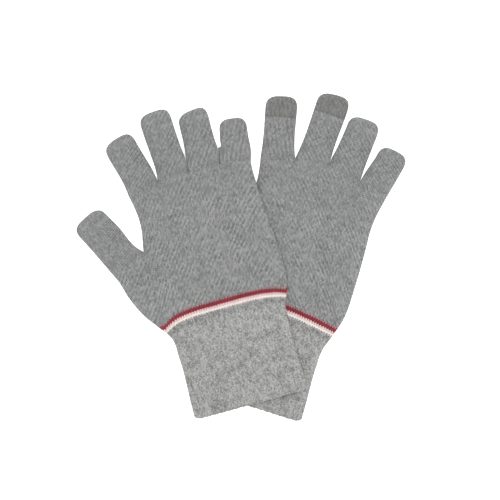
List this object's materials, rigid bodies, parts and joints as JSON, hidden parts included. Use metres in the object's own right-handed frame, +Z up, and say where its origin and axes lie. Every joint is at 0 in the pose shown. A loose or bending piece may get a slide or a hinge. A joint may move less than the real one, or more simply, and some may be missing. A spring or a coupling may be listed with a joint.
{
  "type": "touchscreen gloves",
  "caption": "Pair of knitted gloves laid flat, one on the other, with conductive fingertips, a two-colour wrist stripe and ribbed cuffs.",
  "frame": {"origin": "Centre of the pair's bounding box in plan, on the table the gloves lie on.", "axes": "+Z up from the table, +Y from the cuffs to the fingertips, +X towards the lower glove's little finger."},
  "size_m": [0.2714, 0.2728, 0.0155],
  "materials": {
    "grey_knit": "heather grey fine jersey knit",
    "light_rib_knit": "lighter mottled rib knit",
    "conductive_knit": "darker jersey knitted with conductive yarn",
    "red_yarn": "deep red yarn",
    "white_yarn": "off-white yarn"
  },
  "bodies": {
    "left_glove": {"left_hand": "grey_knit", "left_thumb": "grey_knit", "left_thumb_tip": "conductive_knit", "left_red_stripe": "red_yarn", "left_white_stripe": "white_yarn", "left_wrist_rib": "light_rib_knit", "left_cuff": "light_rib_knit", "left_cuff_hem": "light_rib_knit"},
    "right_glove": {"right_hand": "grey_knit", "right_red_stripe": "red_yarn", "right_white_stripe": "white_yarn", "right_wrist_rib": "light_rib_knit"},
    "left_index_finger_tube": {"left_index_finger": "grey_knit", "left_index_tip": "conductive_knit"},
    "left_middle_finger_tube": {"left_middle_finger": "grey_knit", "left_middle_tip": "conductive_knit"},
    "left_ring_finger_tube": {"left_ring_finger": "grey_knit"},
    "left_little_finger_tube": {"left_little_finger": "grey_knit"},
    "right_index_finger_tube": {"right_index_finger": "grey_knit", "right_index_tip": "conductive_knit"},
    "right_middle_finger_tube": {"right_middle_finger": "grey_knit", "right_middle_tip": "conductive_knit"},
    "right_ring_finger_tube": {"right_ring_finger": "grey_knit"},
    "right_little_finger_tube": {"right_little_finger": "grey_knit"},
    "right_thumb_tube": {"right_thumb": "grey_knit", "right_thumb_tip": "conductive_knit"},
    "right_cuff_tube": {"right_cuff": "light_rib_knit", "right_cuff_hem": "light_rib_knit"}
  },
  "joints": [
    {"name": "right_glove_lift", "type": "slide", "parent": "left_glove", "child": "right_glove", "axis": [0, 0, 1], "range_m": [0, 0.15]},
    {"name": "left_index_finger_bend", "type": "hinge", "parent": "left_glove", "child": "left_index_finger_tube", "pos_m": [0.03037, 0.08314, 0.0076], "axis": [0.9968, -0.0799, 0], "range_deg": [0, 90]},
    {"name": "left_middle_finger_bend", "type": "hinge", "parent": "left_glove", "child": "left_middle_finger_tube", "pos_m": [0.05814, 0.07742, 0.0076], "axis": [0.9472, -0.3207, 0], "range_deg": [0, 90]},
    {"name": "left_ring_finger_bend", "type": "hinge", "parent": "left_glove", "child": "left_ring_finger_tube", "pos_m": [0.085, 0.0677, 0.0076], "axis": [0.9329, -0.36, 0], "range_deg": [0, 90]},
    {"name": "left_little_finger_bend", "type": "hinge", "parent": "left_glove", "child": "left_little_finger_tube", "pos_m": [0.10951, 0.0563, 0.0076], "axis": [0.8725, -0.4886, 0], "range_deg": [0, 90]},
    {"name": "right_index_finger_bend", "type": "hinge", "parent": "right_glove", "child": "right_index_finger_tube", "pos_m": [-0.08134, 0.05668, 0.00884], "axis": [0.8867, 0.4623, 0], "range_deg": [0, 90]},
    {"name": "right_middle_finger_bend", "type": "hinge", "parent": "right_glove", "child": "right_middle_finger_tube", "pos_m": [-0.05639, 0.06702, 0.01548], "axis": [0.9551, 0.2963, 0], "range_deg": [0, 90]},
    {"name": "right_ring_finger_bend", "type": "hinge", "parent": "right_glove", "child": "right_ring_finger_tube", "pos_m": [-0.03071, 0.07393, 0.0155], "axis": [0.9746, 0.2239, 0], "range_deg": [0, 90]},
    {"name": "right_little_finger_bend", "type": "hinge", "parent": "right_glove", "child": "right_little_finger_tube", "pos_m": [-0.00522, 0.0782, 0.0155], "axis": [0.9949, 0.1013, 0], "range_deg": [0, 90]},
    {"name": "right_thumb_bend", "type": "hinge", "parent": "right_glove", "child": "right_thumb_tube", "pos_m": [-0.09374, -0.00488, 0.0076], "axis": [0.7232, 0.6906, 0], "range_deg": [0, 90]},
    {"name": "right_cuff_fold", "type": "hinge", "parent": "right_glove", "child": "right_cuff_tube", "pos_m": [-0.01018, -0.05321, 0.0155], "axis": [-0.9636, -0.2672, 0], "range_deg": [0, 90]}
  ]
}
